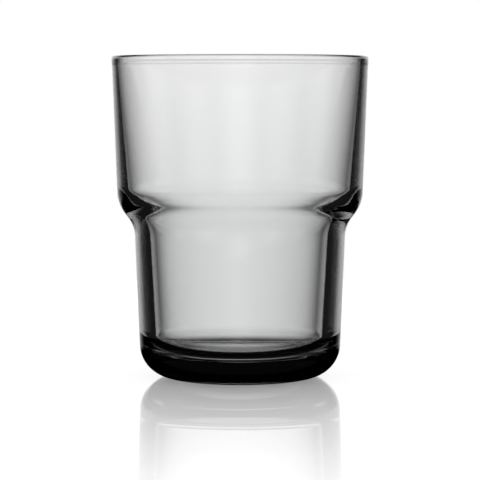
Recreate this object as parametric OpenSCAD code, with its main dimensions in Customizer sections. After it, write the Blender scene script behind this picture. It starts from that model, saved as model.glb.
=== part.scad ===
// Stacking cortado glass, pressed in one piece from smoke-grey glass. A wide bowl steps in at a rounded shoulder
// to a narrower, thicker-walled well over a heavy base. The ledge inside the step carries the foot of the next
// glass in a stack. Millimetres, +Z up, with the origin on the axis in the plane that the glass stands on.

/* [Overall] */
// Height from the table to the top of the lip
height = 85.2; // [78:0.2:96]
// Outer diameter of the bowl, where its wall would meet the top of the lip
rim_d = 68; // [66:0.5:74]

/* [Outside] */
// Draft of the bowl's outer wall, in degrees
bowl_draft = 2.3; // [1:0.1:3]
// Draft of the lower body's outer wall, in degrees
body_draft = 2.3; // [1:0.1:3]
// Height of the shoulder's outward corner, before it is rounded
shoulder_h = 46; // [42:0.5:50]
// Slope of the shoulder away from the vertical, in degrees
shoulder_slope = 38; // [36:1:42]
// Rounding of the shoulder's outward corner
shoulder_r = 10; // [4:0.5:10]
// Rounding where the shoulder runs into the lower body
waist_r = 9; // [4:0.5:9]
// Rounding of the base's lower edge
base_r = 9; // [4:0.5:10]

/* [Inside] */
// Wall thickness at the lip
lip_wall = 1.7; // [1.5:0.1:2.4]
// Draft of the bowl's inner wall, in degrees
bowl_inner_draft = 4.6; // [4:0.1:5.2]
// Rise of the ledge's upper corner above the shoulder's corner
ledge_rise = 2.5; // [1.5:0.25:3]
// Width of the ledge, from the bowl's inner wall to the well's, before its edges are rounded
ledge_w = 5.55; // [5:0.05:6]
// Slope of the ledge away from the vertical, in degrees
ledge_slope = 38; // [36:1:42]
// Rounding where the bowl's inner wall runs into the ledge
ledge_top_r = 7; // [4:0.5:9]
// Rounding of the ledge's inward edge
ledge_edge_r = 12; // [6:0.5:12]
// Wall thickness of the lower body at the height of the inner floor
well_wall = 4.75; // [4:0.05:5.25]
// Draft of the well's inner wall, in degrees
well_draft = 3.1; // [2.5:0.1:3.7]
// Rounding between the well's wall and its floor
well_corner_r = 5.5; // [3:0.5:8]

/* [Base] */
// Height of the inner floor above the table
floor_h = 7; // [6:0.5:10]
// Width of the flat ring that the glass stands on
ring_w = 2; // [1:0.25:3]
// Height of the hollow under the base, at the axis
push_up = 1.5; // [0.5:0.25:2.5]
// Rounding between the standing ring and the hollow
ring_edge_r = 3; // [1:0.5:4]

/* [Hidden] */

glass_grey = [0.36, 0.37, 0.38, 0.6];
// Degrees between the points of a rounded stretch, and segments round the axis
arc_step = 2;
round_segments = 180;
// Each lip corner takes this share of the wall, so that the lip is a full round with a hairline flat
lip_round_share = 0.48;
// Steps along the hollow under the base
push_up_steps = 8;

// Radius of each of the bowl's walls at height z
function bowl_outer(z) = rim_d / 2 - (height - z) * tan(bowl_draft);
function bowl_inner(z) = rim_d / 2 - lip_wall - (height - z) * tan(bowl_inner_draft);

// The ledge carries the foot of the next glass, so the well and the lower body take their place from the ledge
ledge_h = shoulder_h + ledge_rise;
ledge_corner_r = bowl_inner(ledge_h);
well_mouth_r = ledge_corner_r - ledge_w;
well_mouth_h = ledge_h - ledge_w / tan(ledge_slope);
function well_inner(z) = well_mouth_r - (well_mouth_h - z) * tan(well_draft);
function body_outer(z) = well_inner(floor_h) + well_wall + (z - floor_h) * tan(body_draft);

// The shoulder slopes in and down from its corner until it meets the lower body's wall
foot_r = body_outer(0);
shoulder_corner_r = bowl_outer(shoulder_h);
waist_h = (foot_r - shoulder_corner_r + shoulder_h * tan(shoulder_slope)) / (tan(shoulder_slope) - tan(body_draft));

// The base's rounding runs out on the table at the standing ring's outer edge
ring_outer_r = foot_r - base_r * tan((90 - body_draft) / 2);
hollow_r = ring_outer_r - ring_w;
hollow_sphere_r = (pow(hollow_r, 2) + pow(push_up, 2)) / (2 * push_up);
hollow_angle = asin(hollow_r / hollow_sphere_r);
lip_r = lip_wall * lip_round_share;

// Each corner of the outline is [radius from the axis, height, rounding]
hollow_corners = [
    for (i = [0 : push_up_steps - 1])
        let (a = hollow_angle * i / push_up_steps)
        [hollow_sphere_r * sin(a), push_up - hollow_sphere_r * (1 - cos(a)), 0]
];
outer_corners = [
    [hollow_r, 0, ring_edge_r],
    [foot_r, 0, base_r],
    [body_outer(waist_h), waist_h, waist_r],
    [shoulder_corner_r, shoulder_h, shoulder_r],
    [rim_d / 2, height, lip_r]
];
inner_corners = [
    [rim_d / 2 - lip_wall, height, lip_r],
    [ledge_corner_r, ledge_h, ledge_top_r],
    [well_mouth_r, well_mouth_h, ledge_edge_r],
    [well_inner(floor_h), floor_h, well_corner_r],
    [0, floor_h, 0]
];

function flat_point(corner) = [corner[0], corner[1]];
function unit(v) = v / norm(v);
function turn(from, to) = (to - from + 540) % 360 - 180;

// Directions from a corner along its two edges, and half of the angle between them
function edge_back(corners, i) = unit(flat_point(corners[i - 1]) - flat_point(corners[i]));
function edge_ahead(corners, i) = unit(flat_point(corners[i + 1]) - flat_point(corners[i]));
function half_angle(corners, i) = acos(edge_back(corners, i) * edge_ahead(corners, i)) / 2;

// Length that a corner's rounding takes from each of its edges, and the share of it that the edge after a corner
// has room for
function reach(corners, i) = corners[i][2] == 0 ? 0 : corners[i][2] / tan(half_angle(corners, i));
function room_share(corners, i) =
    let (taken = reach(corners, i) + reach(corners, i + 1))
    taken == 0 ? 1 : min(1, norm(flat_point(corners[i + 1]) - flat_point(corners[i])) / taken);

// Points of the arc that rounds one corner, from the edge before it to the edge after it
function rounded_corner(corners, i) =
    let (
        radius = corners[i][2] * min(room_share(corners, i - 1), room_share(corners, i)),
        back = edge_back(corners, i),
        ahead = edge_ahead(corners, i),
        half = half_angle(corners, i),
        corner = flat_point(corners[i]),
        centre = corner + unit(back + ahead) * radius / sin(half),
        first = corner + back * radius / tan(half) - centre,
        last = corner + ahead * radius / tan(half) - centre,
        start = atan2(first[1], first[0]),
        sweep = turn(start, atan2(last[1], last[0])),
        steps = max(1, ceil(abs(sweep) / arc_step))
    )
    [for (k = [0 : steps]) centre + radius * [cos(start + sweep * k / steps), sin(start + sweep * k / steps)]];

// The whole outline: corners with no rounding stay as they are
function outline(corners) = [
    for (i = [0 : len(corners) - 1])
        each (corners[i][2] > 0 ? rounded_corner(corners, i) : [flat_point(corners[i])])
];

module tumbler() {
    color(glass_grey)
        rotate_extrude($fn = round_segments)
            polygon(outline(concat(hollow_corners, outer_corners, inner_corners)));
}

tumbler();
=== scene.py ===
# %% [markdown]
# # A stacking glass in smoke-grey pressed glass
# The object is one piece of glass: a wide bowl, a rounded shoulder, a narrower well and a heavy base.
# Nothing on it is painted or joined, so all of its looks come from three things: the exact curve of
# its inner and outer walls, the grey in the glass, and what the glass has to look at. This lesson
# makes them in that order.

import math

import bmesh
import bpy
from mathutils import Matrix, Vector


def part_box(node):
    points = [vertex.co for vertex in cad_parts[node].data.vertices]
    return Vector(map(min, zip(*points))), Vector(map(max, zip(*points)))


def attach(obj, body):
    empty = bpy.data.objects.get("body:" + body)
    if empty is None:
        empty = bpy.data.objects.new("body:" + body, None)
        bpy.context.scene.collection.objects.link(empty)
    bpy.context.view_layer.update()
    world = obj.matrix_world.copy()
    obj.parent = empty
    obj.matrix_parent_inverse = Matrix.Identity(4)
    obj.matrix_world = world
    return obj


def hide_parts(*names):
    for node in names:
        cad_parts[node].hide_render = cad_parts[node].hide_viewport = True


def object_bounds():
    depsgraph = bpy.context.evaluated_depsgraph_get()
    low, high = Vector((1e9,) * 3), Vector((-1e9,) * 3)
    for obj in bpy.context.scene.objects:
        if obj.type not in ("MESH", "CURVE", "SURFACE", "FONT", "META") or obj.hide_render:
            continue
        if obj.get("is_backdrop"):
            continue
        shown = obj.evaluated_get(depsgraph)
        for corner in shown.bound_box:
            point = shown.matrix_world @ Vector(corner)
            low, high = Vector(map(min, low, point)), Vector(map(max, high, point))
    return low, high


MM = 0.001
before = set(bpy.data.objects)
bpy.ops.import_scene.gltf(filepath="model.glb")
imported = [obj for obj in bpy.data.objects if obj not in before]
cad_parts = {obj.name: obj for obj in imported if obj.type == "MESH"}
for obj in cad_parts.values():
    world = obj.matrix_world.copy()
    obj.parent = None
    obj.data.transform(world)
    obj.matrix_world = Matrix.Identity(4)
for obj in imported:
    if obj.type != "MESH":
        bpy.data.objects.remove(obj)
cad_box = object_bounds()
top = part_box("tumbler")[1]
glass_h = top.z
rim_r = top.x
print(f"the glass is {glass_h / MM:.1f} mm tall and {2 * rim_r / MM:.1f} mm across")

# %% [markdown]
# ## The outline
# A pressed glass is a body of revolution, so it has one outline that runs from the hollow under the
# base, up the outside, over the lip and down the inside to the middle of the floor. It could be drawn
# again here, but the frame already holds it. A merged copy of the frame's mesh is cut by the plane
# y = 0 with both sides cleared away, which leaves the section, and a second cut keeps the right half.

# %% Cut the outline out of the frame
MERGE = 0.002 * MM


def cut(mesh, normal, keep_side):
    """Cuts the mesh through the origin, and keeps the side behind the normal or only the cut."""
    geometry = mesh.verts[:] + mesh.edges[:] + mesh.faces[:]
    bmesh.ops.bisect_plane(mesh, geom=geometry, plane_co=(0, 0, 0), plane_no=normal,
                           dist=MERGE, clear_outer=True, clear_inner=not keep_side)


shape = bmesh.new()
shape.from_mesh(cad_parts["tumbler"].data)
bmesh.ops.remove_doubles(shape, verts=shape.verts, dist=MERGE)
cut(shape, (0, 1, 0), False)
cut(shape, (-1, 0, 0), True)
bmesh.ops.remove_doubles(shape, verts=shape.verts, dist=MERGE)
print(f"the outline has {len(shape.verts)} points and {len(shape.edges)} edges")

# %% [markdown]
# ## Even spacing along the straight walls
# Smooth shading blends the normals of the points. A long straight wall next to a tight curve would
# borrow some of the curve's normal and bend light like a weak lens. Short steps along the straight
# walls keep that blending close to the curve, where it belongs. The top few millimetres get finer
# steps, because the lip is shaped further below.

# %% Shorten the long edges
WALL_STEP = 1.5 * MM
LIP_STEP = 0.15 * MM
LIP_ZONE = 4 * MM


def shorten(edges, longest):
    """Divides each edge into equal steps that are no longer than this."""
    for edge in edges:
        steps = math.ceil(edge.calc_length() / longest)
        if steps > 1:
            bmesh.ops.subdivide_edges(shape, edges=[edge], cuts=steps - 1)


shorten(shape.edges[:], WALL_STEP)
lip_edges = [edge for edge in shape.edges
             if min(end.co.z for end in edge.verts) > glass_h - LIP_ZONE]
shorten(lip_edges, LIP_STEP)
print(f"with short steps it has {len(shape.verts)} points")

# %% [markdown]
# ## The body of glass
# The press turns this outline into glass in one stroke. Here spin does the same: it sweeps the outline
# once round the axis and merges the last ring with the first. The points on the axis become one each,
# and the normals are worked out again so that they all point out of the glass.

# %% Spin the outline
SEGMENTS = 192
CM = 10 * MM
bmesh.ops.spin(shape, geom=shape.verts[:] + shape.edges[:], cent=(0, 0, 0), axis=(0, 0, 1),
               angle=math.tau, steps=SEGMENTS, use_merge=True)
bmesh.ops.remove_doubles(shape, verts=shape.verts, dist=MERGE)
bmesh.ops.recalc_face_normals(shape, faces=shape.faces[:])
shape.normal_update()
for face in shape.faces:
    face.smooth = True
volume = shape.calc_volume() / CM ** 3
print(f"the body has {len(shape.faces)} faces and holds {volume:.1f} cubic centimetres of glass")

# %% [markdown]
# ## Traces of the press and the flame
# A pressed glass is not perfect. The plunger that forms the inside never sits quite in the middle of
# the mould, so the wall is a little thinner on one side. After pressing, a flame rounds the lip, and
# the soft glass there gathers into a bead that stands a hair proud of the wall below it. Both are
# fractions of a millimetre, but glass shows them: the wall's dark edge is narrower on one side, and
# two fine lines run round under the lip. They are made by moving points along and across the wall.

# %% Find the inside
FACES_UP = 0.5
FACES_DOWN = -0.5
MOSTLY_INSIDE = 0.5


def inside_share(point):
    """0 on the outside of the glass, 1 on its inside, and in between over the lip."""
    outward = point.normal.dot(Vector((point.co.x, point.co.y, 0)).normalized())
    if point.co.z > glass_h - LIP_ZONE:
        return (1 - outward) / 2
    facing_axis = outward < 0 and point.normal.z > FACES_DOWN
    return 1 if facing_axis or point.normal.z > FACES_UP else 0


shares = {point: inside_share(point) for point in shape.verts}
inside_count = sum(share > MOSTLY_INSIDE for share in shares.values())
print(f"{inside_count} of {len(shares)} points are on the inside")

# %% Shape the bead and move the plunger
BEAD_OUTSIDE = 2.3 * MM
BEAD_INSIDE = 1.45 * MM
BEAD_EDGE = 0.28 * MM
BEAD_HEIGHT = 0.06 * MM
BEAD_FADE = 35 * MM
PLUNGER_SHIFT = Vector((-0.19 * MM, 0, 0))


def step(value, start, end):
    """A smooth step from 0 at start to 1 at end."""
    share = min(1, max(0, (value - start) / (end - start)))
    return share * share * (3 - 2 * share)


for point, share in shares.items():
    depth = glass_h - point.co.z
    bead = BEAD_OUTSIDE + (BEAD_INSIDE - BEAD_OUTSIDE) * share
    below_bead = step(depth, bead - BEAD_EDGE, bead + BEAD_EDGE) * step(depth, BEAD_FADE, bead)
    point.co -= point.normal * BEAD_HEIGHT * below_bead
    point.co += PLUNGER_SHIFT * share

glass_mesh = bpy.data.meshes.new("pressed_glass")
shape.to_mesh(glass_mesh)
shape.free()
glass = bpy.data.objects.new("pressed_glass", glass_mesh)
bpy.context.scene.collection.objects.link(glass)
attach(glass, "root")
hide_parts("tumbler")
print(f"the bead is {BEAD_HEIGHT / MM:.2f} mm proud")
print(f"the inside is {PLUNGER_SHIFT.length / MM:.2f} mm off centre")

# %% [markdown]
# ## Smoke-grey glass
# The grey is in the glass and not on it, so thick parts are darker than thin ones. A surface colour
# could not do that. The surface here is clear and the grey is a Volume Absorption inside.

# %% Make helpers for nodes


def maths(tree, operation, *values):
    """A Math node on numbers or sockets."""
    node = tree.nodes.new("ShaderNodeMath")
    node.operation = operation
    for socket, value in zip(node.inputs, values):
        if isinstance(value, bpy.types.NodeSocket):
            tree.links.new(value, socket)
        else:
            socket.default_value = value
    return node.outputs[0]


def product(tree, first, *others):
    """All the values multiplied."""
    for other in others:
        first = maths(tree, "MULTIPLY", first, other)
    return first


def ramp(tree, value, start, end, start_value=0, end_value=1):
    """A smooth step of a socket's value, from start_value at start to end_value at end."""
    node = tree.nodes.new("ShaderNodeMapRange")
    node.interpolation_type = "SMOOTHSTEP"
    node.inputs["From Min"].default_value = start
    node.inputs["From Max"].default_value = end
    node.inputs["To Min"].default_value = start_value
    node.inputs["To Max"].default_value = end_value
    tree.links.new(value, node.inputs["Value"])
    return node.outputs["Result"]


def new_material(name):
    """An empty node material, with its tree and its output."""
    material = bpy.data.materials.new(name)
    material.use_nodes = True
    tree = material.node_tree
    tree.nodes.clear()
    return material, tree, tree.nodes.new("ShaderNodeOutputMaterial")


print("numbers and sockets can now be multiplied, compared and ramped in any node tree")

# %% Make the glass
WHITE = (1, 1, 1, 1)
GLASS_IOR = 1.52
GREY_TINT = (0.36, 0.37, 0.38, 1)
GREY_DENSITY = 64
smoke_glass, tree, output = new_material("smoke_glass")
surface = tree.nodes.new("ShaderNodeBsdfPrincipled")
surface.inputs["Base Color"].default_value = WHITE
surface.inputs["Transmission Weight"].default_value = 1
surface.inputs["IOR"].default_value = GLASS_IOR
inside = tree.nodes.new("ShaderNodeVolumeAbsorption")
inside.inputs["Color"].default_value = GREY_TINT
inside.inputs["Density"].default_value = GREY_DENSITY
tree.links.new(surface.outputs["BSDF"], output.inputs["Surface"])
tree.links.new(inside.outputs["Volume"], output.inputs["Volume"])
glass.data.materials.append(smoke_glass)
print(f"{smoke_glass.name} has an index of {GLASS_IOR} and a grey density of {GREY_DENSITY} per metre")

# %% [markdown]
# ## The surface of pressed glass
# A mould leaves its own faint marks. The skin of the glass ripples in long, low waves that run round
# it, and the flame smooths it a little unevenly. Only the ring that it stands on is matt, because
# tables scuff it. The waves are a noise that is stretched round the glass and goes into a Bump node.
# A second noise varies the gloss, and the height above the table adds the scuffs.

# %% Ripple and scuff the surface
WAVES_ROUND = 30
WAVES_UP = 220
WAVE_HEIGHT = 0.006 * MM
WAVE_DETAIL = 1
GLOSS_PATCHES = 60
PATCH_DETAIL = 2
PATCH_EDGE = (0.4, 0.7)
LEAST_GLOSSY = 0.02
SCUFF_HEIGHT = 0.3 * MM
SCUFF_ROUGHNESS = 0.3


def noise(tree, scale, detail):
    """Noise on the object's own coordinates, with a scale for each axis."""
    place = tree.nodes.new("ShaderNodeTexCoord")
    stretch = tree.nodes.new("ShaderNodeMapping")
    stretch.inputs["Scale"].default_value = scale
    tree.links.new(place.outputs["Object"], stretch.inputs["Vector"])
    node = tree.nodes.new("ShaderNodeTexNoise")
    node.inputs["Scale"].default_value = 1
    node.inputs["Detail"].default_value = detail
    tree.links.new(stretch.outputs["Vector"], node.inputs["Vector"])
    return node.outputs["Fac"]


waves = tree.nodes.new("ShaderNodeBump")
waves.inputs["Strength"].default_value = 1
waves.inputs["Distance"].default_value = WAVE_HEIGHT
wave_pattern = noise(tree, (WAVES_ROUND, WAVES_ROUND, WAVES_UP), WAVE_DETAIL)
tree.links.new(wave_pattern, waves.inputs["Height"])
tree.links.new(waves.outputs["Normal"], surface.inputs["Normal"])
glass_place = tree.nodes.new("ShaderNodeTexCoord")
glass_axes = tree.nodes.new("ShaderNodeSeparateXYZ")
tree.links.new(glass_place.outputs["Object"], glass_axes.inputs[0])
patches = noise(tree, (GLOSS_PATCHES, GLOSS_PATCHES, GLOSS_PATCHES), PATCH_DETAIL)
polish = ramp(tree, patches, *PATCH_EDGE, 0, LEAST_GLOSSY)
scuffs = ramp(tree, glass_axes.outputs["Z"], 0, SCUFF_HEIGHT, SCUFF_ROUGHNESS, 0)
tree.links.new(maths(tree, "MAXIMUM", polish, scuffs), surface.inputs["Roughness"])
print(f"waves of {WAVE_HEIGHT / MM:.3f} mm, scuffs up to {SCUFF_HEIGHT / MM:.1f} mm above the table")

# %% [markdown]
# ## The camera
# The lip shows as a thin arch, because the camera stands a little below it, and the base as a fuller
# curve, because the camera looks down on it. The two curves together place the camera about 0.6 m
# away, at the height of the bowl, and the lens follows from the size of the glass in the picture.

# %% Place the camera
CAMERA_DISTANCE = 590 * MM
CAMERA_HEIGHT = 77 * MM
AIM_HEIGHT = 36.4 * MM
LENS = 166.8
camera = bpy.data.objects.new("camera", bpy.data.cameras.new("camera"))
bpy.context.scene.collection.objects.link(camera)
camera.data.lens = LENS
camera.location = (0, -CAMERA_DISTANCE, CAMERA_HEIGHT)
aim = Vector((0, 0, AIM_HEIGHT))
camera.rotation_euler = (aim - camera.location).to_track_quat("-Z", "Y").to_euler()
bpy.context.scene.camera = camera
looks_up = math.degrees(math.atan2(glass_h - CAMERA_HEIGHT, CAMERA_DISTANCE))
looks_down = math.degrees(math.atan2(CAMERA_HEIGHT, CAMERA_DISTANCE))
print(f"the camera looks up at the lip by {looks_up:.1f} degrees")
print(f"and down on the base by {looks_down:.1f} degrees")

# %% [markdown]
# ## What the glass looks at
# Clear glass has no shade of its own: it shows what is behind and beside it, bent. On an even white
# set its edges would vanish. Studios stand soft white cards round a glass and leave dark gaps between
# them. The middle of the glass looks straight at a card and is light. Towards its sides the walls bend
# the view off the card and into the gap, so the edges are drawn dark. Eight cards, one every
# 45 degrees, give the same shading from eight sides.

# %% Find directions in the studio
world = bpy.data.worlds.new("studio")
bpy.context.scene.world = world
world.use_nodes = True
sky = world.node_tree
sky.nodes.clear()
direction = sky.nodes.new("ShaderNodeTexCoord")
sky_axes = sky.nodes.new("ShaderNodeSeparateXYZ")
sky.links.new(direction.outputs["Generated"], sky_axes.inputs[0])
upward = sky_axes.outputs["Z"]
azimuth = maths(sky, "ARCTAN2", sky_axes.outputs["X"], sky_axes.outputs["Y"])


def climb(start, end, start_value=0, end_value=1):
    """A smooth step between two angles above the horizon, in degrees."""
    first, last = (math.sin(math.radians(angle)) for angle in (start, end))
    return ramp(sky, upward, first, last, start_value, end_value)


print("directions in the studio are an azimuth and an angle above the horizon")

# %% Stand the cards round the glass
# A pair, here and below, holds the two angles above the horizon between which a light changes
CARD_SPACING = math.radians(45)
CARD_EDGE_LEVEL = math.radians(29)
CARD_EDGE_LOW = math.radians(19)
NARROWS = (-14, -27)
CARD_LIGHT = 1.1
LOW_SHARE = 0.82
UNDER = (-20, -38)
UNDER_LIGHT = 0.62
CARD_TOP = (12, 20)
card_edge = climb(*NARROWS, CARD_EDGE_LEVEL, CARD_EDGE_LOW)


def cards(spacing):
    """Light of a ring of soft cards, brightest in the middle of each."""
    off_card = maths(sky, "PINGPONG", azimuth, spacing / 2)
    soft = ramp(sky, maths(sky, "DIVIDE", off_card, card_edge), 0, 1, CARD_LIGHT, 0)
    return product(sky, soft, climb(*NARROWS, 1, LOW_SHARE))


ring = product(sky, cards(CARD_SPACING), climb(*UNDER, 1, 0), climb(*CARD_TOP, 1, 0))
through = maths(sky, "ADD", ring, climb(*UNDER, 0, UNDER_LIGHT))
print(f"{math.tau / CARD_SPACING:.0f} cards stand round the glass, up to {CARD_TOP[1]} degrees high")

# %% [markdown]
# ## Ways through the glass
# Light comes through the glass in several ways, and each draws another part of it. Through the hollow
# it crosses four surfaces: that is the clear middle. Through the solid base it crosses only two, and
# the base is almost black. Two are also crossed by light that comes in over the lip, and by light that
# reaches the eye through the open mouth. Light that turns back inside a wall draws fine bright lines
# along it, and light that turns back across the hollow lies on the glass as an even sheen. A studio
# tells these apart with many small black and white cards. Here Light Path counts the crossings and the
# bounces, and each way gets its own share of the light. A little light from all round fills the
# darkest glass, which is never quite black.

# %% Tell the ways through the glass apart
# Crossings and bounces are whole numbers, so each limit lies half below the count that it names
ONE_CROSSING = 0.5
FOUR_CROSSINGS = 3.5
ONE_BOUNCE = 0.5
HORIZON = math.sin(math.radians(1))
BELOW = (0.5, -3)
SOLID_SHARE = 0.9
MOUTH = (-10, -14)
OVER = (1, 1.5)
OVER_END = (14, 8)
OVER_SHARE = 0.72
BOUNCED_SPACING = math.radians(90)
BOUNCED_END = (-32, -18)
EVEN = (-8, -22)
EVEN_LIGHT = 0.3
EVEN_LIGHT_BELOW = 1
FILL_LIGHT = 0.014
path = sky.nodes.new("ShaderNodeLightPath")
crossings = path.outputs["Transmission Depth"]
all_bounces = path.outputs["Glossy Depth"]
# Light that leaves upward has mostly been turned once by the polished floor, so one bounce is taken off
rising = maths(sky, "GREATER_THAN", upward, HORIZON)
bounces = maths(sky, "SUBTRACT", all_bounces, rising)
bounced = maths(sky, "GREATER_THAN", bounces, ONE_BOUNCE)
hollow = maths(sky, "GREATER_THAN", crossings, FOUR_CROSSINGS)
below = climb(*BELOW)
mouth = product(sky, below, climb(*MOUTH), SOLID_SHARE)
straight = maths(sky, "LESS_THAN", all_bounces, ONE_BOUNCE)
over = product(sky, climb(*OVER), climb(*OVER_END), straight, OVER_SHARE)
clean_share = maths(sky, "MAXIMUM", hollow, maths(sky, "ADD", mouth, over))
clean_light = product(sky, through, clean_share, maths(sky, "SUBTRACT", 1, bounced))
solid = maths(sky, "SUBTRACT", 1, hollow)
in_wall = product(sky, cards(BOUNCED_SPACING), climb(*BOUNCED_END), solid)
in_hollow = product(sky, climb(*EVEN, EVEN_LIGHT, EVEN_LIGHT_BELOW), hollow)
bounced_light = product(sky, maths(sky, "ADD", in_wall, in_hollow), below, bounced)
crossed = maths(sky, "GREATER_THAN", crossings, ONE_CROSSING)
drawn = maths(sky, "ADD", clean_light, bounced_light)
seen = product(sky, maths(sky, "ADD", drawn, FILL_LIGHT), crossed)
print(f"light over the lip keeps {OVER_SHARE:.0%} and light through the mouth {SOLID_SHARE:.0%}")

# %% [markdown]
# ## The rest of the set
# The camera sees plain white round the glass. Reflections on its outer skin, and in the floor, see a
# pale strip above the horizon under a dark ceiling, so that the skin is drawn by fine highlights and
# not washed out. The floor gets an even, soft light, in which the glass casts its shadow.

# %% Light the rest of the set
AMBIENT = 0.45
MIRRORED = (0, 1.5)
SKY_END = (14, 22)
SKY_DARK = 0.1
SHINE_EDGE = math.radians(40)
SHINE_BOTTOM = (-10, -7)
low_sky = product(sky, climb(*MIRRORED), climb(*SKY_END, 1, SKY_DARK))
ahead = ramp(sky, maths(sky, "ABSOLUTE", azimuth), 0, SHINE_EDGE, 1, 0)
shine = product(sky, ahead, climb(*MIRRORED, 1, 0), climb(*SHINE_BOTTOM))
uncrossed = maths(sky, "SUBTRACT", 1, crossed)
set_light = maths(sky, "ADD", low_sky, shine)
mirrored = product(sky, set_light, path.outputs["Is Reflection Ray"], uncrossed)
ambient = product(sky, path.outputs["Is Diffuse Ray"], AMBIENT)
strength = maths(sky, "ADD", maths(sky, "ADD", path.outputs["Is Camera Ray"], seen),
                 maths(sky, "ADD", mirrored, ambient))
backdrop = sky.nodes.new("ShaderNodeBackground")
backdrop.inputs["Color"].default_value = WHITE
sky.links.new(strength, backdrop.inputs["Strength"])
world_output = sky.nodes.new("ShaderNodeOutputWorld")
sky.links.new(backdrop.outputs["Background"], world_output.inputs["Surface"])
print(f"the studio has {len(sky.nodes)} nodes")

# %% [markdown]
# ## The floor
# The glass stands on a polished white board. Along the board, at a flat angle, polish acts as a mirror
# and the glass stands on its own image, which fades with the distance. From higher up the board is
# plain white and keeps a soft shadow round the foot. Layer Weight tells the flat view from the steep
# one. Only the camera sees the board itself. Every other ray looks through it at the cards, darkened by
# a painted shadow round the foot and lifted by a painted light under the hollow.

# %% Lay the floor
FLOOR_R = 300 * MM
FLOOR_SEGMENTS = 96
floor_mesh = bmesh.new()
bmesh.ops.create_circle(floor_mesh, cap_ends=True, segments=FLOOR_SEGMENTS, radius=FLOOR_R)
floor_data = bpy.data.meshes.new("floor")
floor_mesh.to_mesh(floor_data)
floor_mesh.free()
floor = bpy.data.objects.new("floor", floor_data)
bpy.context.scene.collection.objects.link(floor)
floor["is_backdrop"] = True
print(f"the floor is {2 * FLOOR_R:.1f} m across")

# %% Polish the floor
MIRROR_NEAR = 26 * MM
MIRROR_FAR = 245 * MM
MIRROR_SHARE = 0.62
STEEP_VIEW = 0.74
FLAT_VIEW = 0.85
FLOOR_GLOW = 0.65
# A painted shadow round the foot and a painted light under the hollow, seen only by rays that pass the
# board
SHADOW_NEAR = 30 * MM
SHADOW_FAR = 42 * MM
SHADOW_LIGHT = 0.12
HOLLOW_NEAR = 14 * MM
HOLLOW_FAR = 20 * MM
HOLLOW_LIGHT = 0.6
FLOOR_WHITE = (0.8, 0.8, 0.8, 1)


def shader(tree, kind, **values):
    """A shader node with these socket values."""
    node = tree.nodes.new(kind)
    for name, value in values.items():
        node.inputs[name].default_value = value
    return node.outputs[0]


def mixed(tree, factor, first, second):
    """A Mix Shader of two shaders by a socket."""
    node = tree.nodes.new("ShaderNodeMixShader")
    tree.links.new(factor, node.inputs["Fac"])
    tree.links.new(first, node.inputs[1])
    tree.links.new(second, node.inputs[2])
    return node.outputs["Shader"]


white_floor, floor_tree, floor_output = new_material("white_floor")
floor_place = floor_tree.nodes.new("ShaderNodeTexCoord")
distance = floor_tree.nodes.new("ShaderNodeVectorMath")
distance.operation = "LENGTH"
floor_tree.links.new(floor_place.outputs["Object"], distance.inputs[0])
fade = floor_tree.nodes.new("ShaderNodeMapRange")
fade.inputs["From Min"].default_value = MIRROR_NEAR
fade.inputs["From Max"].default_value = MIRROR_FAR
fade.inputs["To Min"].default_value = MIRROR_SHARE
fade.inputs["To Max"].default_value = 0
floor_tree.links.new(distance.outputs["Value"], fade.inputs["Value"])
view = floor_tree.nodes.new("ShaderNodeLayerWeight")
flat_view = ramp(floor_tree, view.outputs["Facing"], STEEP_VIEW, FLAT_VIEW)
mirror_share = product(floor_tree, fade.outputs["Result"], flat_view)
board = floor_tree.nodes.new("ShaderNodeAddShader")
floor_tree.links.new(shader(floor_tree, "ShaderNodeEmission", Strength=FLOOR_GLOW), board.inputs[0])
floor_tree.links.new(shader(floor_tree, "ShaderNodeBsdfDiffuse", Color=FLOOR_WHITE), board.inputs[1])
mirror = shader(floor_tree, "ShaderNodeBsdfGlossy", Color=WHITE, Roughness=0)
shown = mixed(floor_tree, mirror_share, board.outputs[0], mirror)
camera_ray = floor_tree.nodes.new("ShaderNodeLightPath").outputs["Is Camera Ray"]
# Every ray but the camera's passes the board, darkened by a painted shadow round the foot and lifted by
# a painted light under the hollow
shadow = floor_tree.nodes.new("ShaderNodeBsdfTransparent")
painted_shadow_round_foot = ramp(floor_tree, distance.outputs["Value"], SHADOW_NEAR, SHADOW_FAR, SHADOW_LIGHT)
painted_light_under_hollow = ramp(floor_tree, distance.outputs["Value"], HOLLOW_NEAR, HOLLOW_FAR, HOLLOW_LIGHT, 0)
floor_tree.links.new(maths(floor_tree, "MAXIMUM", painted_shadow_round_foot, painted_light_under_hollow), shadow.inputs["Color"])
floor_surface = mixed(floor_tree, camera_ray, shadow.outputs[0], shown)
floor_tree.links.new(floor_surface, floor_output.inputs["Surface"])
floor.data.materials.append(white_floor)
print(f"the floor mirrors {MIRROR_SHARE:.0%} beside the glass")
print(f"and nothing from {MIRROR_FAR / MM:.0f} mm on")

# %% [markdown]
# ## Settings for glass
# A ray through this glass may cross many surfaces before it leaves. With Blender's usual limits some
# would stop inside and turn black, so the limits are raised. The Standard view transform keeps the
# white of the set white.

# %% Set the limits for light in glass
MOST_BOUNCES = 32
MOST_GLOSSY_BOUNCES = 16
scene = bpy.context.scene
scene.cycles.max_bounces = MOST_BOUNCES
scene.cycles.transmission_bounces = MOST_BOUNCES
scene.cycles.glossy_bounces = MOST_GLOSSY_BOUNCES
scene.view_settings.view_transform = "Standard"
print(f"light may bounce {scene.cycles.max_bounces} times")

# %% [markdown]
# ## The size
# The looks must not change the size of the part. The box of the frame, taken before anything was made,
# and the box of the finished glass are kept side by side, so that they can be compared.

# %% Keep both boxes and finish
boxes = {"cad": cad_box, "visual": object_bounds()}
lowest, highest = boxes["visual"]
print(f"the finished glass is {(highest.z - lowest.z) / MM:.2f} mm tall")
